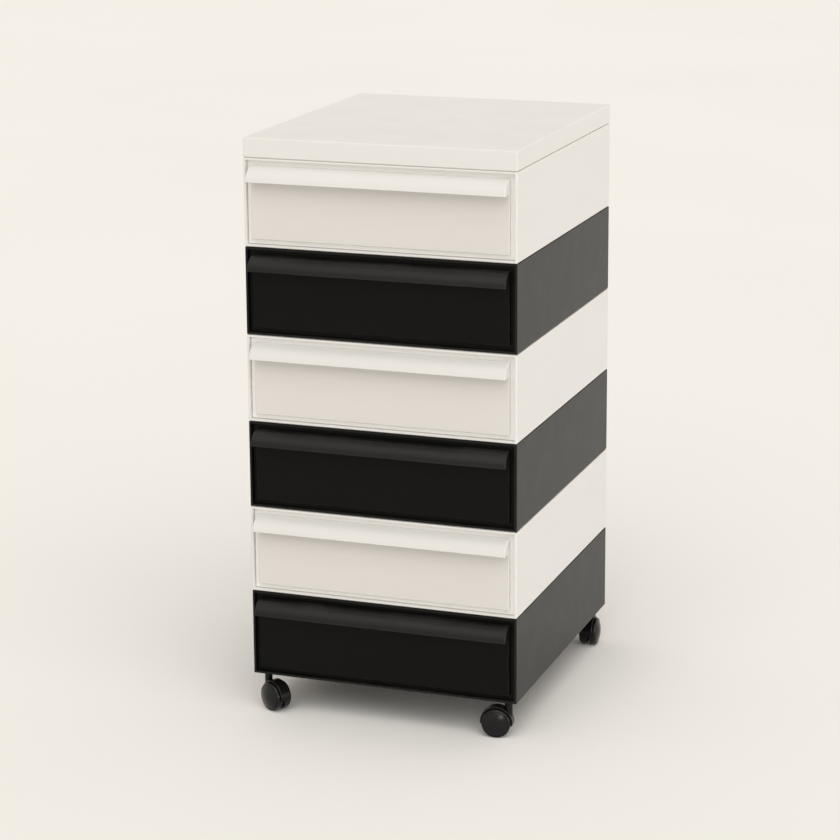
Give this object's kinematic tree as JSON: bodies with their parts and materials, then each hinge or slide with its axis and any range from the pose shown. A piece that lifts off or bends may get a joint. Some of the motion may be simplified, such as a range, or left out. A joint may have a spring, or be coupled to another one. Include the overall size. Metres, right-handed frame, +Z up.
{
  "type": "drawer tower",
  "caption": "Tall stack of identical moulded casings with full-width hooded drawers, a flat lid and swivelling twin-wheel casters.",
  "frame": {"origin": "on the floor, at the centre of the footprint with the handles included", "axes": "+Z up, drawers open towards -Y, +X to the right seen from the front"},
  "size_m": [0.348, 0.41, 0.725],
  "materials": {
    "white_casing": "satin moulded plastic",
    "white_tray": "satin moulded plastic",
    "white_front": "satin moulded plastic",
    "white_handle": "satin moulded plastic",
    "black_casing": "satin moulded plastic",
    "black_tray": "satin moulded plastic",
    "black_front": "satin moulded plastic",
    "black_handle": "satin moulded plastic",
    "caster_hood": "satin moulded plastic",
    "caster_wheel": "satin moulded plastic",
    "steel": "plain turned steel",
    "dark_steel": "blackened steel"
  },
  "bodies": {
    "stack": {"lid": "white_casing", "joining_pins": "steel", "casing_1": "white_casing", "casing_2": "black_casing", "casing_3": "white_casing", "casing_4": "black_casing", "casing_5": "white_casing", "casing_6": "black_casing", "caster_1_stem": "dark_steel", "caster_2_stem": "dark_steel", "caster_3_stem": "dark_steel", "caster_4_stem": "dark_steel"},
    "drawer_1": {"tray_1": "white_tray", "front_1": "white_front", "handle_1": "white_handle"},
    "drawer_2": {"tray_2": "black_tray", "front_2": "black_front", "handle_2": "black_handle"},
    "drawer_3": {"tray_3": "white_tray", "front_3": "white_front", "handle_3": "white_handle"},
    "drawer_4": {"tray_4": "black_tray", "front_4": "black_front", "handle_4": "black_handle"},
    "drawer_5": {"tray_5": "white_tray", "front_5": "white_front", "handle_5": "white_handle"},
    "drawer_6": {"tray_6": "black_tray", "front_6": "black_front", "handle_6": "black_handle"},
    "caster_1": {"caster_1_hood": "caster_hood", "caster_1_axle": "steel"},
    "caster_1_left": {"caster_1_wheel_left": "caster_wheel"},
    "caster_1_right": {"caster_1_wheel_right": "caster_wheel"},
    "caster_2": {"caster_2_hood": "caster_hood", "caster_2_axle": "steel"},
    "caster_2_left": {"caster_2_wheel_left": "caster_wheel"},
    "caster_2_right": {"caster_2_wheel_right": "caster_wheel"},
    "caster_3": {"caster_3_hood": "caster_hood", "caster_3_axle": "steel"},
    "caster_3_left": {"caster_3_wheel_left": "caster_wheel"},
    "caster_3_right": {"caster_3_wheel_right": "caster_wheel"},
    "caster_4": {"caster_4_hood": "caster_hood", "caster_4_axle": "steel"},
    "caster_4_left": {"caster_4_wheel_left": "caster_wheel"},
    "caster_4_right": {"caster_4_wheel_right": "caster_wheel"}
  },
  "joints": [
    {"name": "drawer_1_slide", "type": "slide", "parent": "stack", "child": "drawer_1", "axis": [0, -1, 0], "range_m": [0, 0.3]},
    {"name": "drawer_2_slide", "type": "slide", "parent": "stack", "child": "drawer_2", "axis": [0, -1, 0], "range_m": [0, 0.3]},
    {"name": "drawer_3_slide", "type": "slide", "parent": "stack", "child": "drawer_3", "axis": [0, -1, 0], "range_m": [0, 0.3]},
    {"name": "drawer_4_slide", "type": "slide", "parent": "stack", "child": "drawer_4", "axis": [0, -1, 0], "range_m": [0, 0.3]},
    {"name": "drawer_5_slide", "type": "slide", "parent": "stack", "child": "drawer_5", "axis": [0, -1, 0], "range_m": [0, 0.3]},
    {"name": "drawer_6_slide", "type": "slide", "parent": "stack", "child": "drawer_6", "axis": [0, -1, 0], "range_m": [0, 0.3]},
    {"name": "caster_1_swivel", "type": "hinge", "parent": "stack", "child": "caster_1", "pos_m": [-0.1585, -0.1741, 0.047], "axis": [0, 0, 1], "continuous": true},
    {"name": "caster_1_left_spin", "type": "hinge", "parent": "caster_1", "child": "caster_1_left", "pos_m": [-0.14594, -0.18135, 0.018], "axis": [0.5, 0.866, 0], "continuous": true},
    {"name": "caster_1_right_spin", "type": "hinge", "parent": "caster_1", "child": "caster_1_right", "pos_m": [-0.14594, -0.18135, 0.018], "axis": [0.5, 0.866, 0], "continuous": true},
    {"name": "caster_2_swivel", "type": "hinge", "parent": "stack", "child": "caster_2", "pos_m": [0.1585, -0.1741, 0.047], "axis": [0, 0, 1], "continuous": true},
    {"name": "caster_2_left_spin", "type": "hinge", "parent": "caster_2", "child": "caster_2_left", "pos_m": [0.14411, -0.17587, 0.018], "axis": [0.1219, -0.9925, 0], "continuous": true},
    {"name": "caster_2_right_spin", "type": "hinge", "parent": "caster_2", "child": "caster_2_right", "pos_m": [0.14411, -0.17587, 0.018], "axis": [0.1219, -0.9925, 0], "continuous": true},
    {"name": "caster_3_swivel", "type": "hinge", "parent": "stack", "child": "caster_3", "pos_m": [0.1585, 0.191, 0.047], "axis": [0, 0, 1], "continuous": true},
    {"name": "caster_3_left_spin", "type": "hinge", "parent": "caster_3", "child": "caster_3_left", "pos_m": [0.15951, 0.17654, 0.018], "axis": [0.9976, 0.0698, 0], "continuous": true},
    {"name": "caster_3_right_spin", "type": "hinge", "parent": "caster_3", "child": "caster_3_right", "pos_m": [0.15951, 0.17654, 0.018], "axis": [0.9976, 0.0698, 0], "continuous": true},
    {"name": "caster_4_swivel", "type": "hinge", "parent": "stack", "child": "caster_4", "pos_m": [-0.1585, 0.191, 0.047], "axis": [0, 0, 1], "continuous": true},
    {"name": "caster_4_left_spin", "type": "hinge", "parent": "caster_4", "child": "caster_4_left", "pos_m": [-0.15951, 0.17654, 0.018], "axis": [0.9976, -0.0698, 0], "continuous": true},
    {"name": "caster_4_right_spin", "type": "hinge", "parent": "caster_4", "child": "caster_4_right", "pos_m": [-0.15951, 0.17654, 0.018], "axis": [0.9976, -0.0698, 0], "continuous": true}
  ]
}
